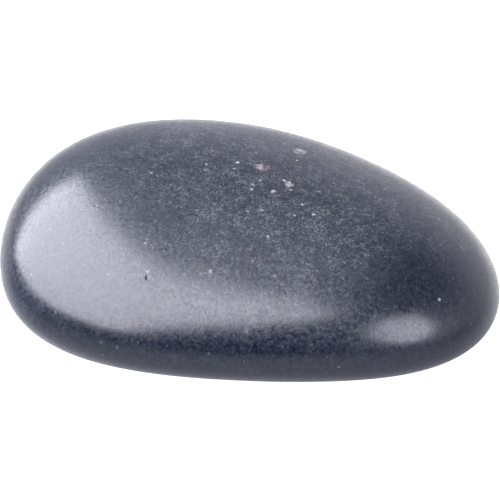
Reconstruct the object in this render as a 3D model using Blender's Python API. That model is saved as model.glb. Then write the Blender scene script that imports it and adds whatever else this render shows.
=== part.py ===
"""River pebble: one smooth, water-worn basalt stone, fat at the heel and drawn out to a nose.

X runs along the stone with the nose at +X, Y runs across it and Z is up. The origin lies under the
middle of the stone, on the surface it rests on. All lengths are in metres.
"""
import math

import bmesh
import bpy
from mathutils import Vector

# Overall size: a stretched ball with a high crown above the rim and a shallower belly below it.
HALF_LENGTH = 0.0454
HALF_WIDTH = 0.0331
CROWN_RISE = 0.0190
BELLY_DROP = 0.0105

# Egg form: the taper takes from the nose and gives to the heel, the fullness blunts both ends.
PLAN_TAPER = 0.14
PLAN_FULLNESS = 0.16
SIDE_TAPER = 0.24
SIDE_FULLNESS = 0.28

# Slow bends of the whole stone, each given as the shift that it reaches at the ends or the crown.
PLAN_BOW = -0.0051
NOSE_DIP = -0.0021
ROCKER = 0.0010
CROWN_LEAN = 0.0013

# Broad swells and wear hollows: bearing round Z from +X, angle above the rim, height, and reach
# as a share of the ball's radius.
SWELLS = {
    "cheek": (-38.0, 35.0, 0.0033, 0.45),
    "back_shoulder": (89.0, 32.0, 0.0013, 0.38),
    "heel_wear": (-165.0, 0.0, -0.00175, 0.45),
}

# Depth to which the lowest point is worn off to a flat.
FOOT_WEAR = 0.0003
# Points closer than this along the edge of the flat become one.
WELD_DISTANCE = 0.00005

# Halvings of the starting ball's triangles.
BALL_DIVISIONS = 5

BASALT_COLOUR = (0.050, 0.055, 0.068, 1.0)
BASALT_ROUGHNESS = 0.32


def clear_scene():
    """Remove whatever the open scene holds."""
    for scene_object in list(bpy.data.objects):
        bpy.data.objects.remove(scene_object, do_unlink=True)


def make_collection(name):
    """Return a new collection linked into the scene."""
    collection = bpy.data.collections.new(name)
    bpy.context.scene.collection.children.link(collection)
    return collection


def basalt_material():
    """Dark blue-grey basalt with a satin polish."""
    material = bpy.data.materials.new("basalt")
    material.use_nodes = True
    shader = material.node_tree.nodes["Principled BSDF"]
    shader.inputs["Base Color"].default_value = BASALT_COLOUR
    shader.inputs["Roughness"].default_value = BASALT_ROUGHNESS
    shader.inputs["Metallic"].default_value = 0.0
    material.diffuse_color = BASALT_COLOUR
    return material


def bearing_vector(bearing, rise):
    """Unit vector at a bearing round Z and a rise above the rim, both in degrees."""
    around = math.radians(bearing)
    above = math.radians(rise)
    return Vector((
        math.cos(around) * math.cos(above),
        math.sin(around) * math.cos(above),
        math.sin(above),
    ))


def swell_height(ball_point):
    """Sum of the swells at a point of the unit ball."""
    height = 0.0
    for bearing, rise, peak, reach in SWELLS.values():
        gap = (ball_point - bearing_vector(bearing, rise)).length
        height += peak * math.exp(-gap ** 2 / (2 * reach ** 2))
    return height


def pebble_point(ball_point):
    """Carry a point of the unit ball to the pebble's skin."""
    u, v, w = ball_point
    half_height = (CROWN_RISE + BELLY_DROP) / 2
    crown_bias = (CROWN_RISE - BELLY_DROP) / (CROWN_RISE + BELLY_DROP)
    width = HALF_WIDTH * (1 - PLAN_TAPER * u + PLAN_FULLNESS * u ** 2)
    height = half_height * (1 + crown_bias * w) * (1 - SIDE_TAPER * u + SIDE_FULLNESS * u ** 2)
    skin = Vector((
        HALF_LENGTH * u,
        width * v + PLAN_BOW * u ** 2 + CROWN_LEAN * w,
        height * w + NOSE_DIP * u + ROCKER * u ** 2,
    ))
    outward = Vector((u / HALF_LENGTH, v / HALF_WIDTH, w / half_height)).normalized()
    return skin + outward * swell_height(ball_point)


def stand_on_floor(mesh_data):
    """Centre the stone over the origin, with its lowest point one foot's wear below Z = 0."""
    corners = [[vert.co[axis] for vert in mesh_data.verts] for axis in range(3)]
    middle_x = (min(corners[0]) + max(corners[0])) / 2
    middle_y = (min(corners[1]) + max(corners[1])) / 2
    lowest = min(corners[2])
    shift = Vector((-middle_x, -middle_y, -lowest - FOOT_WEAR))
    bmesh.ops.translate(mesh_data, vec=shift, verts=mesh_data.verts)


def wear_foot_flat(mesh_data):
    """Cut off what lies below Z = 0 and close the cut with one flat face."""
    everything = mesh_data.verts[:] + mesh_data.edges[:] + mesh_data.faces[:]
    cut = bmesh.ops.bisect_plane(
        mesh_data, geom=everything, dist=WELD_DISTANCE,
        plane_co=(0, 0, 0), plane_no=(0, 0, 1), clear_inner=True,
    )
    rim = [item for item in cut["geom_cut"] if isinstance(item, bmesh.types.BMEdge)]
    rim_verts = {vert for edge in rim for vert in edge.verts}
    for vert in rim_verts:
        vert.co.z = 0.0
    bmesh.ops.remove_doubles(mesh_data, verts=list(rim_verts), dist=WELD_DISTANCE)
    rim = [edge for edge in mesh_data.edges if edge.is_boundary]
    bmesh.ops.edgeloop_fill(mesh_data, edges=rim)


def make_pebble(collection):
    """Build the stone from a ball, bend it to its form and wear its foot flat."""
    mesh_data = bmesh.new()
    bmesh.ops.create_icosphere(mesh_data, subdivisions=BALL_DIVISIONS, radius=1.0)
    for vert in mesh_data.verts:
        vert.co = pebble_point(vert.co.normalized())
    stand_on_floor(mesh_data)
    wear_foot_flat(mesh_data)
    bmesh.ops.recalc_face_normals(mesh_data, faces=mesh_data.faces)
    mesh = bpy.data.meshes.new("pebble")
    mesh_data.to_mesh(mesh)
    mesh_data.free()
    mesh.shade_smooth()
    mesh.set_sharp_from_angle(angle=math.radians(30))
    mesh.materials.append(basalt_material())
    pebble = bpy.data.objects.new("pebble", mesh)
    collection.objects.link(pebble)
    return pebble


clear_scene()
make_pebble(make_collection("river_pebble"))
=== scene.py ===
import math
import random

import bmesh
import bpy
from mathutils import Matrix, Vector, noise


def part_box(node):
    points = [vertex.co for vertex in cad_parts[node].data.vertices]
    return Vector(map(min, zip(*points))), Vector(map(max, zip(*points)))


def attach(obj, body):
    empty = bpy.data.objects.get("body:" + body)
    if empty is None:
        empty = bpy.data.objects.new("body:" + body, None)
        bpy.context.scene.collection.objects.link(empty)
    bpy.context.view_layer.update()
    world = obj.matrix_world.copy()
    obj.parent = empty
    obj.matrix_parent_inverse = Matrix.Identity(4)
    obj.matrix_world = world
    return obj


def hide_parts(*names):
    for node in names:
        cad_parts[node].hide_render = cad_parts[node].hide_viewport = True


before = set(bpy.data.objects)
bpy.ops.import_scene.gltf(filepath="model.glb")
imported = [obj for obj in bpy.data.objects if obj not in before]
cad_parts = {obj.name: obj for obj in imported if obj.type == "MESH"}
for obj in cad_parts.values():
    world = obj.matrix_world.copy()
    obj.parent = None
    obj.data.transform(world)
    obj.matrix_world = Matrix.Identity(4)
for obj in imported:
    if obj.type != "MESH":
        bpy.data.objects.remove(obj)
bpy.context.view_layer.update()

# River pebble: one dark basalt stone, worn smooth, on a pale floor under soft studio light.
# X runs along the stone with its nose at +X, and Z is up. Lengths are in metres, or in mm where
# a note says so.

nodeLow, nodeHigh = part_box("pebble")
print("frame: pebble is", [round(size * 1000, 1) for size in nodeHigh - nodeLow], "mm")


class Wire:
    # one output socket, and maths on wires adds Math nodes
    def __init__(self, sheet, socket):
        self.sheet = sheet
        self.socket = socket

    def maths(self, operation, first, second):
        return self.sheet.add("ShaderNodeMath", {"operation": operation}, {0: first, 1: second})

    def __add__(self, other):
        return self.maths("ADD", self, other)

    def __radd__(self, other):
        return self.maths("ADD", self, other)

    def __sub__(self, other):
        return self.maths("SUBTRACT", self, other)

    def __rsub__(self, other):
        return self.maths("SUBTRACT", other, self)

    def __mul__(self, other):
        return self.maths("MULTIPLY", self, other)

    def __rmul__(self, other):
        return self.maths("MULTIPLY", self, other)

    def __pow__(self, other):
        return self.maths("POWER", self, other)

    def most(self, other):
        return self.maths("MAXIMUM", self, other)

    def least(self, other):
        return self.maths("MINIMUM", self, other)

    def lifted(self, lowest):
        # squeezes a mask of 0 to 1 so that it starts at lowest
        return lowest + (1 - lowest) * self

    def out(self, name):
        # another output of the same node
        return Wire(self.sheet, self.socket.node.outputs[name])


class NodeSheet:
    def __init__(self, tree):
        self.tree = tree
        tree.nodes.clear()

    def plug(self, socket, value):
        if isinstance(value, Wire):
            self.tree.links.new(value.socket, socket)
        else:
            socket.default_value = value

    def add(self, kind, settings, sockets, output=0):
        node = self.tree.nodes.new(kind)
        for name, value in settings.items():
            setattr(node, name, value)
        for name, value in sockets.items():
            self.plug(node.inputs[name], value)
        return None if output is None else Wire(self, node.outputs[output])

    def ramp(self, value, low, high):
        # 0 below low, 1 above high and smooth between; high under low turns it round
        return self.add("ShaderNodeMapRange", {"interpolation_type": "SMOOTHSTEP"},
                        {"Value": value, "From Min": low, "From Max": high})

    def blend(self, share, first, second):
        # colour mix, 0 gives the first and 1 the second
        return self.add("ShaderNodeMix", {"data_type": "RGBA"},
                        {0: share, 6: first, 7: second}, output=2)

    def join(self, share, first, second):
        # shader mix, the same way round
        return self.add("ShaderNodeMixShader", {}, {0: share, 1: first, 2: second})

    def vector(self, operation, first, second):
        return self.add("ShaderNodeVectorMath", {"operation": operation}, {0: first, 1: second})

    def scaled(self, vector, factors):
        return self.vector("MULTIPLY", vector, factors)

    def toCamera(self):
        # 1 for what the camera sees straight on, 0 for what lights or is mirrored
        return self.add("ShaderNodeLightPath", {}, {}).out("Is Camera Ray")


def colour(red, green, blue):
    return (red, green, blue, 1.0)


def pointing(azimuth, elevation):
    # unit vector, azimuth counted from +Y towards +X, both in degrees
    around = math.radians(azimuth)
    above = math.radians(elevation)
    return Vector((math.sin(around) * math.cos(above),
                   math.cos(around) * math.cos(above),
                   math.sin(above)))


white = colour(1.0, 1.0, 1.0)

cameraPlace = {
    "azimuth": 9.0,            # degrees round the stone, 0 looks along +Y
    "elevation": 32.0,         # degrees above the floor
    "distance": 0.600,
    "lens": 239.0,             # mm, like the sensor's width
    "sensor": 36.0,
    "aim": (-0.00083, 0.00094, 0.01182),
}


def makeCamera():
    back = pointing(cameraPlace["azimuth"], cameraPlace["elevation"])
    back.y = -back.y           # the camera stands in front, at -Y
    data = bpy.data.cameras.new("camera")
    data.lens = cameraPlace["lens"]
    data.sensor_width = cameraPlace["sensor"]
    camera = bpy.data.objects.new("camera", data)
    camera.location = Vector(cameraPlace["aim"]) + back * cameraPlace["distance"]
    camera.rotation_mode = "QUATERNION"
    camera.rotation_quaternion = (-back).to_track_quat("-Z", "Y")
    bpy.context.scene.collection.objects.link(camera)
    bpy.context.scene.camera = camera
    print("camera: placed")


stoneForm = {
    "halfLength": 0.0454,
    "halfWidth": 0.0331,
    "crownRise": 0.0190,
    "bellyDrop": 0.0105,
    "planTaper": 0.14,         # takes from the nose and gives to the heel
    "planFullness": 0.16,      # blunts both ends
    "sideTaper": 0.24,
    "sideFullness": 0.28,
    "planBow": -0.0051,        # this and the next three are slow bends, as the shift they reach
    "noseDip": -0.0021,        # at the ends or at the crown
    "rocker": 0.0010,
    "crownLean": 0.0013,
    "swells": {                # bearing from +X to +Y and rise in degrees, height, reach on the ball
        "cheek": (-38.0, 35.0, 0.0033, 0.45),
        "backShoulder": (89.0, 32.0, 0.0013, 0.38),
        "heelWear": (-165.0, 0.0, -0.00175, 0.45),
    },
    "footWear": 0.0003,        # worn off the lowest point
    "footSoftness": 0.00004,   # how gently the worn foot turns up into the belly
    "rimHeight": 0.012,        # above this the skin faces up
    "cellsPerSide": 120,       # the starting cube's grid
}

stoneWear = {
    "waves": ((0.019, 0.00005), (0.009, 0.00002), (0.0035, 0.000006)),   # length and height
    "waveShift": (7.3, 2.1, 4.7),      # keeps the waves from lying over each other
    "dimples": 70,
    "dimpleReach": (0.0006, 0.0016),
    "dimpleDepth": (0.000008, 0.00003),
    "seed": 11,
    "pits": (                  # place in plan, radius and depth, in mm
        (-14.4, -26.6, 0.50, 0.07),
        (-13.5, -26.1, 0.22, 0.02),
        (-25.9, -14.2, 0.26, 0.02),
        (-24.9, -14.6, 0.24, 0.02),
        (-30.4, -28.5, 0.45, 0.02),
    ),
    "pitCollar": 0.0006,       # how far the finer skin reaches past one and a half radii
    "pitCuts": 3,
}


def makeBall(cells):
    # a cube's grid blown up to the unit ball, spread so that its cells stay even
    ball = bmesh.new()
    bmesh.ops.create_cube(ball, size=2.0)
    bmesh.ops.subdivide_edges(ball, edges=ball.edges[:], cuts=cells - 1, use_grid_fill=True)
    for vert in ball.verts:
        vert.co = Vector([math.tan(part * math.pi / 4) for part in vert.co]).normalized()
    return ball


def skinPoint(onBall):
    # carries a point of the unit ball to the stone's skin
    form = stoneForm
    u, v, w = onBall
    halfHeight = (form["crownRise"] + form["bellyDrop"]) / 2
    crownBias = (form["crownRise"] - form["bellyDrop"]) / (form["crownRise"] + form["bellyDrop"])
    width = form["halfWidth"] * (1 - form["planTaper"] * u + form["planFullness"] * u ** 2)
    height = halfHeight * (1 + crownBias * w)
    height *= 1 - form["sideTaper"] * u + form["sideFullness"] * u ** 2
    skin = Vector((form["halfLength"] * u,
                   width * v + form["planBow"] * u ** 2 + form["crownLean"] * w,
                   height * w + form["noseDip"] * u + form["rocker"] * u ** 2))
    outward = Vector((u / form["halfLength"], v / form["halfWidth"], w / halfHeight)).normalized()
    for bearing, rise, peak, reach in form["swells"].values():
        gap = (onBall - pointing(bearing, rise).yxz).length
        skin += outward * peak * math.exp(-gap ** 2 / (2 * reach ** 2))
    return skin


def settleInFrame(stone):
    # moved into the CAD stone's box, with the foot's wear still below the floor
    for axis in range(2):
        places = [vert.co[axis] for vert in stone.verts]
        middle = (min(places) + max(places)) / 2
        shift = Vector((0, 0, 0))
        shift[axis] = (nodeLow[axis] + nodeHigh[axis]) / 2 - middle
        bmesh.ops.translate(stone, vec=shift, verts=stone.verts)
    lowest = min(vert.co.z for vert in stone.verts)
    drop = nodeLow.z - stoneForm["footWear"] - lowest
    bmesh.ops.translate(stone, vec=Vector((0, 0, drop)), verts=stone.verts)


def waveHeight(place):
    height = 0.0
    for turn, (length, rise) in enumerate(stoneWear["waves"]):
        height += rise * noise.noise(place / length + Vector(stoneWear["waveShift"]) * (turn + 1))
    return height


def wearSkin(stone):
    # slow waves and shallow dimples, all along the skin's own normal
    stone.normal_update()
    stone.verts.ensure_lookup_table()
    draw = random.Random(stoneWear["seed"])
    dimples = []
    for _ in range(stoneWear["dimples"]):
        centre = stone.verts[draw.randrange(len(stone.verts))].co.copy()
        dimples.append((centre, draw.uniform(*stoneWear["dimpleReach"]),
                        draw.uniform(*stoneWear["dimpleDepth"])))
    moves = []
    for vert in stone.verts:
        height = waveHeight(vert.co)
        for centre, reach, depth in dimples:
            gap = (vert.co - centre).length
            if gap < reach:
                height -= depth * (1 - (gap / reach) ** 2) ** 2
        moves.append(vert.normal * height)
    for vert, move in zip(stone.verts, moves):
        vert.co += move


def sinkPits(stone):
    # the skin gets finer round each pit before it is pressed in
    rim = stoneForm["rimHeight"]
    for pit in stoneWear["pits"]:
        x, y, radius, depth = [size / 1000 for size in pit]
        middle = Vector((x, y))
        upper = [vert for vert in stone.verts if vert.co.z > rim]
        centre = min(upper, key=lambda vert: (vert.co.xy - middle).length).co.copy()
        collar = radius * 1.5 + stoneWear["pitCollar"]
        around = [edge for edge in stone.edges
                  if all((vert.co - centre).length < collar for vert in edge.verts)]
        bmesh.ops.subdivide_edges(stone, edges=around, cuts=stoneWear["pitCuts"], use_grid_fill=True)
        stone.normal_update()
        for vert in stone.verts:
            gap = (vert.co.xy - middle).length / radius
            if gap < 1 and vert.co.z > rim:
                vert.co -= vert.normal * depth * (1 - gap ** 2) ** 2


def wearFoot(stone):
    # the lowest point is worn to a flat that turns up softly into the belly
    soft = stoneForm["footSoftness"]
    for vert in stone.verts:
        rise = (vert.co.z - nodeLow.z) / soft
        if rise < 30:          # further up nothing is worn
            vert.co.z = nodeLow.z + soft * math.log1p(math.exp(rise))


def makeStone():
    stone = makeBall(stoneForm["cellsPerSide"])
    for vert in stone.verts:
        vert.co = skinPoint(vert.co)
    settleInFrame(stone)
    wearSkin(stone)
    sinkPits(stone)
    wearFoot(stone)
    bmesh.ops.recalc_face_normals(stone, faces=stone.faces)
    mesh = bpy.data.meshes.new("wornStone")
    stone.to_mesh(mesh)
    stone.free()
    mesh.shade_smooth()
    piece = bpy.data.objects.new("wornStone", mesh)
    bpy.context.scene.collection.objects.link(piece)
    print("stone: shaped,", len(mesh.polygons), "faces")
    return piece


# all lengths in this look are in mm
basaltLook = {
    "ground": colour(0.0000, 0.0003, 0.0038),      # fine dark body of the rock
    "haze": colour(0.0080, 0.0118, 0.0208),        # and the paler points in it
    "grain": colour(0.060, 0.061, 0.066),          # feldspar dust that the wear brings up
    "lath": colour(0.045, 0.046, 0.050),           # short feldspar needles
    "crystal": colour(0.110, 0.110, 0.115),        # small white crystals
    "star": colour(0.185, 0.183, 0.180),           # and the largest ones
    "blush": colour(0.150, 0.126, 0.118),          # pale brownish patches
    "pitShade": colour(0.0, 0.0, 0.001),           # painted shade at the bottom of the pressed-in pits
    "index": 1.5,
    "roughness": 0.18,
    "scuffRoughness": 0.17,                        # what a full scuff adds
    "smearRoughness": 0.16,                        # how far the smears swing it
    "topSide": (13.0, 16.0),                       # marks placed in plan fade in at these heights
    "wander": 0.7,                                 # how far places can stray, for uneven edges
    "wanderPace": 2.6,                             # and how many times per mm
    "crownCentre": (6.0, 5.0, 24.0),               # the grain shows most here
    "crownReach": (18.0, 40.0),                    # fades from here to here
    "crownRagged": 30.0,                           # and patches move that edge this much
    "flankGrain": 0.14,                            # share of the crown's grain elsewhere
    "smoothCheek": (31.0, -18.0, 19.0),            # the nose's cheek has less grain and less haze, so it is smoother and darker
    "cheekReach": (4.0, 13.0),
    "cheekRagged": 8.0,
    "cheekGrain": 0.35,                            # share of the grain left on the cheek
    "cheekHaze": 0.6,                              # and of the haze
    "belly": (8.0, 16.0),                          # the haze grows between these heights, and the darker belly below is painted shade
    "bellyShadeHaze": 0.55,                             # from this share on the belly, painted shade, to all of it
    "clouds": {                # size, detail, roughness, shift
        "patchy": (8.0, 2.0, 0.5, 2.3),            # broad patches of more and less wear
        "fine": (0.80, 3.0, 0.85, 9.1),
        "mottle": (1.0, 1.0, 0.6, 4.1),            # a few grains across
        "coarse": (3.2, 2.0, 0.6, 1.7),
        "dust": (0.33, 1.0, 0.9, 0.0),
        "otherDust": (0.30, 1.0, 0.9, 7.7),
        "needles": (0.40, 1.0, 0.5, 3.1),
        "crossNeedles": (0.40, 1.0, 0.5, 5.7),
        "scuffs": (0.70, 3.0, 0.85, 6.4),
        "smears": (2.6, 3.0, 0.7, 3.6),            # broad wipes of wear
        "ripple": (0.9, 2.0, 0.5, 0.0),
    },
    "dots": {                  # cell, shift, share of the cells that hold one, radius in cells
        "specks": (0.60, 3.7, 0.50, 0.27),
        "flecks": (1.4, 6.3, 0.40, 0.18),
        "sparse": (2.3, 4.9, 0.40, 0.13),
        "stars": (3.1, 8.1, 0.45, 0.12),
        "pinholes": (0.9, 5.3, 0.5, 0.22),
    },
    "hazeEdge": (0.36, 0.66),                      # edges in the clouds, from none to full
    "lathEdge": (0.66, 0.76),
    "fleckEdge": (0.35, 0.6),
    "scuffEdge": (0.35, 0.70),
    "needleSqueeze": 2.6,                          # how many times longer than wide
    "lathMottle": 0.25,                            # how much the mottle sways the laths
    "dotCore": 0.45,                               # a dot is full inside this share of its radius
    "faintestDot": 0.25,
    "crystalEdge": (1.25, 0.5),                    # in radii, gone at the first and full at the next
    "blushEdge": (1.25, 0.35),
    "pitEdge": (1.1, 0.3),
    "strewnStars": (0.1, 0.4),                     # on unworn skin, and what the wear adds
    "dustContrast": 4.0,
    "mottleContrast": 2.1,
    "coarseContrast": 1.9,
    "dustStrength": 0.113,
    "laths": 0.35,                                 # strength of each kind of mark
    "specks": 0.45,
    "flecks": 0.8,
    "sparse": 0.5,
    # the pits' mark is painted shade
    "pits": 0.4,
    "relief": {"dust": 0.006, "ripple": 0.014, "pinholes": 0.020, "pits": 0.012},
    "largeCrystals": (         # place in plan, radius, strength
        (-3.1, 1.1, 0.32, 1.0), (-3.3, -1.1, 0.24, 0.8), (5.8, -2.0, 0.30, 1.0),
        (6.8, -2.4, 0.32, 0.85), (7.3, -4.6, 0.26, 0.6), (6.9, 6.3, 0.28, 0.8),
        (4.4, -5.9, 0.36, 0.7), (0.6, -6.4, 0.30, 0.7), (0.6, -5.0, 0.22, 0.6),
        (1.7, -3.4, 0.28, 0.6), (12.2, -10.2, 0.32, 0.75), (9.9, -8.1, 0.24, 0.7),
        (9.0, -11.3, 0.24, 0.6), (-8.3, -1.2, 0.27, 0.6), (5.1, -16.9, 0.24, 0.6),
        (-3.7, -24.4, 0.30, 0.5), (35.6, -19.7, 0.27, 0.8), (33.3, 0.4, 0.26, 0.7),
        (-17.4, -5.6, 0.28, 0.5), (-15.7, -21.1, 0.24, 0.5),
    ),
    "blushes": (               # place in plan, half length and half width, strength
        (6.8, 10.9, 1.2, 1.4, 0.85),
        (1.5, 1.1, 1.4, 1.3, 0.40),
        (6.8, -2.8, 0.8, 0.9, 0.50),
        (4.5, -6.0, 0.6, 0.7, 0.40),
    ),
}


class RockSheet(NodeSheet):
    # a sheet with the stone's own patterns, which lie in the stone and count in mm
    def __init__(self, tree):
        super().__init__(tree)
        look = basaltLook
        self.clouds = {}
        place = self.add("ShaderNodeTexCoord", {}, {}).out("Object")
        self.place = self.scaled(place, (1000.0, 1000.0, 1000.0))      # metres to mm
        wander = self.add("ShaderNodeTexNoise", {}, {
            "Vector": self.place, "Scale": look["wanderPace"], "Detail": 2.0}).out("Color")
        wander = self.vector("SUBTRACT", wander, (0.5, 0.5, 0.5))
        stray = self.scaled(wander, (look["wander"], look["wander"], look["wander"]))
        self.bent = self.vector("ADD", self.place, stray)
        self.plan = self.scaled(self.bent, (1.0, 1.0, 0.0))
        self.rise = self.add("ShaderNodeSeparateXYZ", {}, {"Vector": self.place}).out("Z")
        self.topSide = self.ramp(self.rise, *look["topSide"])

    def cloud(self, name, squeeze=(1.0, 1.0, 1.0)):
        # soft noise of 0 to 1, 0.5 on average, made once for each name
        if name not in self.clouds:
            size, detail, roughness, shift = basaltLook["clouds"][name]
            moved = self.add("ShaderNodeMapping", {}, {
                "Vector": self.place, "Location": (shift, -shift, shift), "Scale": squeeze})
            self.clouds[name] = self.add("ShaderNodeTexNoise", {}, {
                "Vector": moved, "Scale": 1 / size, "Detail": detail, "Roughness": roughness})
        return self.clouds[name]

    def dots(self, name):
        # uneven dots, one in some of the cells, each with its own strength
        size, shift, share, reach = basaltLook["dots"][name]
        spread = self.add("ShaderNodeMapping", {}, {
            "Vector": self.bent, "Location": (shift, shift, -shift)})
        cells = self.add("ShaderNodeTexVoronoi", {}, {"Vector": spread, "Scale": 1 / size})
        chance = self.add("ShaderNodeSeparateColor", {}, {"Color": cells.out("Color")})
        keep = self.ramp(chance, 1 - share, 1 - share + 0.02)
        strength = chance.out("Green").lifted(basaltLook["faintestDot"])
        return self.ramp(cells, reach, reach * basaltLook["dotCore"]) * keep * strength

    def gap(self, start, centre):
        return self.vector("DISTANCE", start, centre).out("Value")

    def spot(self, x, y, radius, edge):
        # one round mark on the top side
        outer, inner = edge
        gap = self.gap(self.plan, (x, y, 0.0))
        return self.ramp(gap, radius * outer, radius * inner) * self.topSide


def wearAndShadeShares(rock):
    # how much of the grain and how much of the haze shows; the haze thins on the belly as painted
    # shade
    look = basaltLook
    patches = rock.cloud("patchy") - 0.5
    near, far = look["crownReach"]
    fromCrown = rock.gap(rock.place, look["crownCentre"]) + patches * look["crownRagged"]
    fromCheek = rock.gap(rock.place, look["smoothCheek"]) + patches * look["cheekRagged"]
    cheek = rock.ramp(fromCheek, *look["cheekReach"])
    crown = rock.ramp(fromCrown, far, near) * cheek.lifted(look["cheekGrain"])
    worn = crown.lifted(look["flankGrain"])
    # the haze thins towards the bottom, painted shade on the belly
    bellyShade = rock.ramp(rock.rise, *look["belly"])
    hazeWithShade = bellyShade.lifted(look["bellyShadeHaze"]) * cheek.lifted(look["cheekHaze"])
    return worn, hazeWithShade


def feldsparDust(rock):
    # two fine clouds make the grains, two broader ones gather them; each is brought to 1 on average
    look = basaltLook
    grains = (rock.cloud("dust") * rock.cloud("otherDust") * 4.0) ** look["dustContrast"]
    mottle = (rock.cloud("mottle") * 2.0) ** look["mottleContrast"]
    coarse = (rock.cloud("coarse") * 2.0) ** look["coarseContrast"]
    return grains * mottle * coarse * look["dustStrength"]


def feldsparLaths(rock):
    # short needles that lie both ways
    look = basaltLook
    squeeze = look["needleSqueeze"]
    needles = rock.cloud("needles", (squeeze, 1.0, 1.0))
    needles = needles.most(rock.cloud("crossNeedles", (1.0, squeeze, 1.0)))
    return rock.ramp(needles + (rock.cloud("mottle") - 0.5) * look["lathMottle"], *look["lathEdge"])


def starMarks(rock, worn):
    # a few strewn by chance, and the large crystals in their places
    look = basaltLook
    unworn, added = look["strewnStars"]
    stars = rock.dots("stars") * (unworn + added * worn)
    for x, y, radius, strength in look["largeCrystals"]:
        stars = stars.most(rock.spot(x, y, radius, look["crystalEdge"]) * strength)
    return stars


def blushMarks(rock):
    # soft ovals that show through the grains
    look = basaltLook
    outer, inner = look["blushEdge"]
    grains = (rock.cloud("dust") * rock.cloud("mottle") * 4.0) ** look["dustContrast"]
    blush = 0.0
    for x, y, halfLength, halfWidth, strength in look["blushes"]:
        squeezed = rock.add("ShaderNodeMapping", {}, {
            "Vector": rock.plan, "Location": (-x / halfLength, -y / halfWidth, 0.0),
            "Scale": (1 / halfLength, 1 / halfWidth, 1.0)})
        oval = rock.ramp(rock.gap(squeezed, (0.0, 0.0, 0.0)), outer, inner) * rock.topSide
        blush = blush + oval * grains * strength
    return blush


def pitMarks(rock):
    # where the mesh has its pits
    pits = 0.0
    for x, y, radius, _ in stoneWear["pits"]:
        pits = pits + rock.spot(x, y, radius, basaltLook["pitEdge"])
    return pits


def rockColour(rock, pits):
    # layers from the dark ground up to the pale marks
    look = basaltLook
    worn, hazeWithShade = wearAndShadeShares(rock)
    flecks = rock.dots("flecks") * rock.ramp(rock.cloud("patchy"), *look["fleckEdge"])
    layers = (
        (rock.ramp(rock.cloud("fine"), *look["hazeEdge"]) * hazeWithShade, "haze"),
        ((feldsparDust(rock) * worn).least(1.0), "grain"),
        (feldsparLaths(rock) * worn * look["laths"], "lath"),
        (rock.dots("specks") * worn * look["specks"], "crystal"),
        ((flecks * worn * look["flecks"]).most(rock.dots("sparse") * look["sparse"]), "crystal"),
        (blushMarks(rock).least(1.0), "blush"),
        (starMarks(rock, worn), "star"),
        # painted shade darkens the pits
        (pits.least(1.0) * look["pits"], "pitShade"),
    )
    body = look["ground"]
    for share, tone in layers:
        body = rock.blend(share, body, look[tone])
    return body


def rockRelief(rock, pits):
    relief = basaltLook["relief"]
    inMetres = 0.001
    height = rock.cloud("dust") * relief["dust"] + rock.cloud("ripple") * relief["ripple"]
    height = height - rock.dots("pinholes") * relief["pinholes"] - pits * relief["pits"]
    return rock.add("ShaderNodeBump", {}, {"Height": height, "Distance": inMetres, "Strength": 1.0})


def makeBasalt():
    look = basaltLook
    material = bpy.data.materials.new("basalt")
    material.use_nodes = True
    rock = RockSheet(material.node_tree)
    pits = pitMarks(rock)
    scuffs = rock.ramp(rock.cloud("scuffs"), *look["scuffEdge"])
    smears = rock.cloud("smears") - 0.5
    roughness = look["roughness"] + look["scuffRoughness"] * scuffs
    roughness = roughness + look["smearRoughness"] * smears
    shader = rock.add("ShaderNodeBsdfPrincipled", {}, {
        "Base Color": rockColour(rock, pits),
        "Roughness": roughness,
        "IOR": look["index"],
        "Normal": rockRelief(rock, pits),
    })
    rock.add("ShaderNodeOutputMaterial", {}, {"Surface": shader}, output=None)
    return material


floorLook = {
    "radius": 0.16,
    "nearTone": colour(0.222, 0.222, 0.227),       # close to the stone
    "farShadeTone": colour(0.060, 0.060, 0.062),        # and further out, painted shade for the stone to mirror
    "shadeTurn": (0.042, 0.110),                    # near tone up to here, the painted shade from here on
    "frontGlow": 0.34,                             # the floor shines a little and softens the shadow
    "frontTint": colour(0.92, 1.0, 1.22),
    "backGlow": 1.05,                              # and more behind the stone, which lights its rim
    "backTint": colour(1.02, 1.0, 1.0),
    "glowTurn": (-0.02, 0.06),                     # from the front glow to the back one, along Y
    "cameraGlow": 1.06,                            # what the camera sees of it, in place of both
}


def floorFinish():
    material = bpy.data.materials.new("floor")
    material.use_nodes = True
    sheet = NodeSheet(material.node_tree)
    place = sheet.add("ShaderNodeTexCoord", {}, {}).out("Object")
    away = sheet.add("ShaderNodeVectorMath", {"operation": "LENGTH"}, {0: place}).out("Value")
    acrossY = sheet.add("ShaderNodeSeparateXYZ", {}, {"Vector": place}).out("Y")

    def shine(tint, strength):
        return sheet.add("ShaderNodeEmission", {}, {"Color": tint, "Strength": strength})

    # further out the floor is painted dark, as shade that the stone mirrors
    near = sheet.add("ShaderNodeBsdfDiffuse", {}, {"Color": floorLook["nearTone"]})
    far = sheet.add("ShaderNodeBsdfDiffuse", {}, {"Color": floorLook["farShadeTone"]})
    mattWithShade = sheet.join(sheet.ramp(away, *floorLook["shadeTurn"]), near, far)
    front = shine(floorLook["frontTint"], floorLook["frontGlow"])
    back = shine(floorLook["backTint"], floorLook["backGlow"])
    glow = sheet.join(sheet.ramp(acrossY, *floorLook["glowTurn"]), front, back)
    glow = sheet.join(sheet.toCamera(), glow, shine(white, floorLook["cameraGlow"]))
    both = sheet.add("ShaderNodeAddShader", {}, {0: mattWithShade, 1: glow})
    sheet.add("ShaderNodeOutputMaterial", {}, {"Surface": both}, output=None)
    return material


def makeFloor():
    disc = bmesh.new()
    bmesh.ops.create_circle(disc, cap_ends=True, segments=96, radius=floorLook["radius"])
    mesh = bpy.data.meshes.new("floor")
    disc.to_mesh(mesh)
    disc.free()
    mesh.materials.append(floorFinish())
    floor = bpy.data.objects.new("floor", mesh)
    bpy.context.scene.collection.objects.link(floor)


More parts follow.
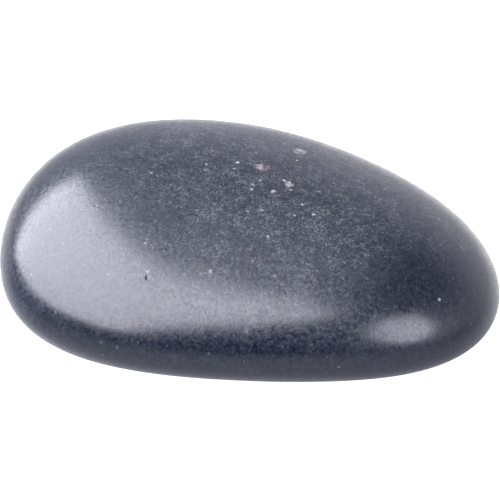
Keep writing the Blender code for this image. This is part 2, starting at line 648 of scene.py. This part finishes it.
roomLook = {
    "tint": colour(0.975, 1.0, 1.13),
    "glows": {                 # azimuth, elevation, tightness and strength of each soft glow
        "overhead": (-91.0, 63.0, 4, 2.36),
        "left": (-90.0, 0.0, 1, 0.50),
        "backWall": (0.0, 0.0, 3, 0.76),
        "backRight": (45.0, 10.0, 6, 0.64),
        "rightWall": (90.0, 0.0, 3, 0.70),
        "rightFront": (120.0, 10.0, 6, 0.94),
    },
}

panels = {
    # angles in degrees, the rest in metres and watts
    "keyPanel": {
        "azimuth": -109.4, "elevation": 45.1, "distance": 0.80,
        "width": 2.146, "height": 1.008, "roll": 9.2,
        "shape": "RECTANGLE", "power": 63.8, "tint": (1.005, 1.0, 1.105),
    },
    "sidePanel": {
        "azimuth": 135.9, "elevation": 20.3, "distance": 0.80,
        "width": 0.493, "height": 0.539, "roll": -2.9,
        "shape": "ELLIPSE", "power": 4.60, "tint": (0.99, 1.0, 1.12),
    },
}


def makeRoom():
    # soft glows of the room's walls light the stone, and the camera sees plain white
    world = bpy.data.worlds.new("room")
    world.use_nodes = True
    bpy.context.scene.world = world
    sheet = NodeSheet(world.node_tree)
    looking = sheet.add("ShaderNodeTexCoord", {}, {}).out("Generated")
    shade = 0.0
    for azimuth, elevation, tightness, strength in roomLook["glows"].values():
        facing = sheet.vector("DOT_PRODUCT", looking, pointing(azimuth, elevation)).out("Value")
        shade = shade + facing.most(0.0) ** tightness * strength
    walls = sheet.add("ShaderNodeBackground", {}, {"Color": roomLook["tint"], "Strength": shade})
    plain = sheet.add("ShaderNodeBackground", {}, {"Color": white, "Strength": 1.0})
    seen = sheet.join(sheet.toCamera(), walls, plain)
    sheet.add("ShaderNodeOutputWorld", {}, {"Surface": seen}, output=None)


def makePanel(name, look):
    data = bpy.data.lights.new(name, "AREA")
    data.shape = look["shape"]
    data.size = look["width"]
    data.size_y = look["height"]
    data.energy = look["power"]
    data.color = look["tint"]
    direction = pointing(look["azimuth"], look["elevation"])
    turn = direction.to_track_quat("Z", "Y").to_matrix().to_4x4()
    roll = Matrix.Rotation(math.radians(look["roll"]), 4, "Z")
    panel = bpy.data.objects.new(name, data)
    panel.matrix_world = Matrix.Translation(direction * look["distance"]) @ turn @ roll
    bpy.context.scene.collection.objects.link(panel)


makeCamera()
wornStone = makeStone()
wornStone.data.materials.append(makeBasalt())
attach(wornStone, "root")
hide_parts("pebble")
print("basalt: laid on the stone")
makeFloor()
makeRoom()
for name, look in panels.items():
    makePanel(name, look)
bpy.context.scene.view_settings.view_transform = "Standard"
print("studio: floor, room and", len(panels), "panels")
